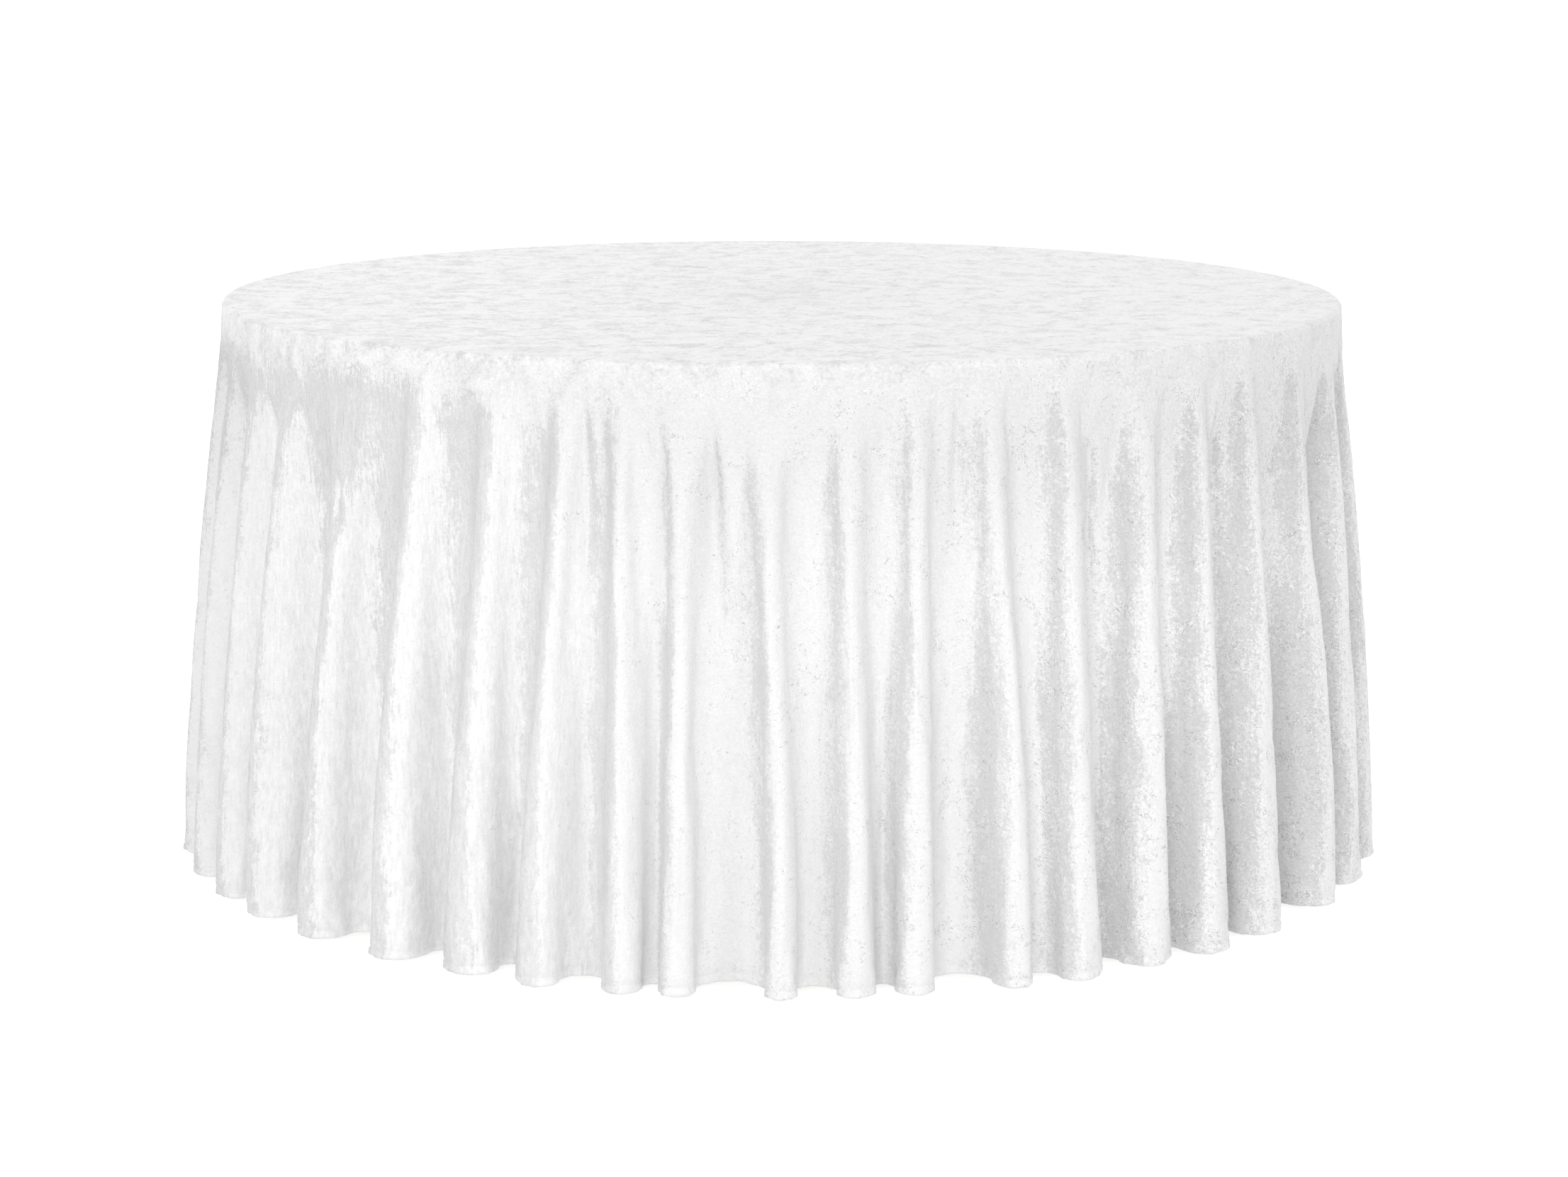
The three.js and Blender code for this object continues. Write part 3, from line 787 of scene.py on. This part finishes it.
# %% Plywood
def wood(name, pale, dark, pores, grain_scale, roughness):
    """Wood with its grain along X: the finish, its colour, its relief and its roughness."""
    made = Finish(name)
    drawn = made.stretched(made.place(), (0.06, 1.0, 1.0))
    years = made.noise(drawn, grain_scale, 4.0, 0.6, 1.6)
    fibre = made.noise(drawn, grain_scale * 9, 3.0, 0.6)
    pore = made.noise(drawn, grain_scale * 26, 2.0, 0.5).between(0.60, 0.72)
    tone = made.mix((years * 0.75 + fibre * 0.25).between(0.34, 0.66), dark, pale)
    blotch = made.noise(made.place(), 3.0, 2.0)
    tone = made.mix(blotch.between(0.3, 0.7) * 0.25, tone, tuple(c * 0.86 for c in pale))
    return made, made.mix(pore * 0.6, tone, pores), fibre - pore * 0.6, roughness + fibre * 0.15


plywood, veneer, veneer_relief, veneer_rough = wood(
    "birch_plywood", (0.66, 0.50, 0.32), (0.52, 0.36, 0.20), (0.30, 0.19, 0.10), 16.0, 0.5)
TWO_PLIES = 0.0029                    # one light and one dark layer of the board, in metres
plies = plywood.axis(plywood.place(), "Z") * (2 * math.pi / TWO_PLIES)
layer = plies.math("SINE", plies).between(-0.25, 0.25)
plywood.finish(plywood.mix(layer * 0.35, veneer, (0.36, 0.24, 0.14)), veneer_rough, veneer_relief, 0.00015, 0.5)
print("plywood ready")

# %% [markdown]
# Two beech runners stiffen the board from below. Beech is redder than birch, with a finer and
# denser fleck, and it has a thin coat of varnish.

# %% Beech runners
hardwood, beech, beech_relief, beech_rough = wood(
    "beech_runner", (0.56, 0.37, 0.21), (0.42, 0.25, 0.13), (0.22, 0.11, 0.05), 34.0, 0.42)
hardwood.finish(beech, beech_rough, beech_relief, 0.0002, 0.5, Coat_Weight=0.15, Coat_Roughness=0.3)
print("beech ready")

# %% [markdown]
# The laminate is a printed paper under a hard clear layer: soft clouds of grey, small dark crumbs,
# and long scuffs from years of use. The vinyl strip has fine ribs, and is rubbed paler where
# chairs and hands touch it.

# %% Laminate and edging
laminate = Finish("printed_laminate")
crumbs = laminate.noise(laminate.place(), 420.0, 3.0, 0.7)
clouds = laminate.noise(laminate.place(), 9.0, 4.0, 0.6, 0.8)
scratched = laminate.stretched(laminate.place(), (5.0, 60.0, 5.0))
scuffs = laminate.noise(scratched, 1.0, 4.0, 0.6, 2.0).between(0.62, 0.66)
stone = laminate.mix(clouds.between(0.35, 0.65), (0.50, 0.48, 0.45), (0.58, 0.56, 0.53))
stone = laminate.mix(crumbs.between(0.56, 0.64) * 0.5, stone, (0.30, 0.29, 0.28))
laminate.finish(laminate.mix(scuffs * 0.3, stone, (0.66, 0.65, 0.63)), 0.34 + crumbs * 0.12 + scuffs * 0.2,
                crumbs, 0.00012, 0.4)

edging = Finish("brown_vinyl_edging")
RIB_STEP = 0.0016
ribs = edging.axis(edging.place(), "Z") * (2 * math.pi / RIB_STEP)
rib = ribs.math("SINE", ribs)
rubbed = edging.noise(edging.place(), 35.0, 4.0, 0.65, 0.6).between(0.50, 0.72)
edging.finish(edging.mix(rubbed, (0.085, 0.048, 0.028), (0.14, 0.088, 0.056)), 0.38 + rubbed * 0.22,
              rib * 0.6 + rubbed * 0.3, 0.00015, 0.5)
print("board finishes ready")

# %% [markdown]
# ## The folding legs
#
# The tubes are powder-coated: a dark even colour with the fine dimples of orange peel, dusty
# here and there and rubbed through to grey metal in small chips, most of them near the floor. The
# dimples are bump only, as they are far too shallow to model.

# %% Powder-coated steel
steel = Finish("dark_powder_coat")
peel = steel.noise(steel.place(), 620.0, 2.0, 0.5)
dust = steel.noise(steel.place(), 14.0, 4.0, 0.6, 0.5).between(0.48, 0.74)
near_floor = 1 - steel.axis(steel.place(), "Z").between(0.02, 0.14)
chips = steel.noise(steel.place(), 150.0, 3.0, 0.7, 0.4).between(0.66, 0.69) * (near_floor * 0.7 + 0.3)
coat = steel.mix(dust, (0.030, 0.031, 0.033), (0.058, 0.057, 0.055))
steel.finish(steel.mix(chips, coat, (0.32, 0.31, 0.30)), 0.42 + dust * 0.2, peel - chips * 0.8, 0.00018, 0.6,
             Metallic=0.0, Coat_Weight=0.1, Coat_Roughness=0.35)
print("powder coat ready")

# %% [markdown]
# The braces and brackets are zinc-plated sheet. Plating is metal, so most of its colour is what it
# reflects; a cloudy bloom changes how sharp that is, and rolling has left faint lines. The screws
# are brighter, with a slight blue or yellow tint.

# %% Zinc-plated sheet and screws
plate = Finish("zinc_plated_sheet")
bloom = plate.noise(plate.place(), 45.0, 4.0, 0.65, 1.0)
rolled = plate.noise(plate.stretched(plate.place(), (500.0, 500.0, 40.0)), 1.0, 3.0, 0.6)
plate.finish(plate.mix(bloom.between(0.35, 0.65), (0.34, 0.35, 0.36), (0.52, 0.52, 0.51)), 0.30 + bloom * 0.22,
             rolled, 0.00006, 0.5, Metallic=1.0)

screw = Finish("bright_zinc_screw")
turning = screw.noise(screw.place(), 900.0, 3.0, 0.6)
tint = screw.noise(screw.place(), 120.0, 2.0, 0.5)
screw.finish(screw.mix(tint.between(0.4, 0.65), (0.55, 0.55, 0.53), (0.50, 0.53, 0.58)), 0.20 + turning * 0.18,
             turning, 0.00004, 0.5, Metallic=1.0)
print("zinc ready")

# %% [markdown]
# The feet are black plastic from a mould with a fine grain. They slide on floors, so their
# scuffs get denser towards the underside.

# %% Moulded feet
plastic = Finish("black_moulded_plastic")
spark = plastic.noise(plastic.place(), 1300.0, 2.0, 0.5)
worn = plastic.noise(plastic.place(), 90.0, 4.0, 0.65, 0.5)
under = 1 - plastic.axis(plastic.place(), "Z").between(0.002, 0.012)
scuff = worn.between(0.50, 0.66) * (under * 0.8 + 0.15)
plastic.finish(plastic.mix(scuff, (0.022, 0.022, 0.023), (0.13, 0.125, 0.12)),
               0.45 + spark * 0.12 + scuff * 0.2, spark + scuff * 0.6, 0.00012, 0.5)
print("plastic ready")

# %% [markdown]
# ## Giving every piece its finish
#
# The record says which material slot each piece of the frame takes. Its first slot is emptied and
# gets the finish of that name. The cloth has its own two materials already.

# %% Assign the finishes
finishes = {"plywood": plywood, "laminate": laminate, "edging": edging, "hardwood": hardwood,
            "steel": steel, "plate": plate, "screw": screw, "plastic": plastic}
for part in frame["record"]["subparts"]:
    slot = part["material_slot"]
    if slot in finishes:
        slots = nodes[part["node"]].data.materials
        slots.clear()
        slots.append(finishes[slot].material)
print("finished", len(finishes), "materials")
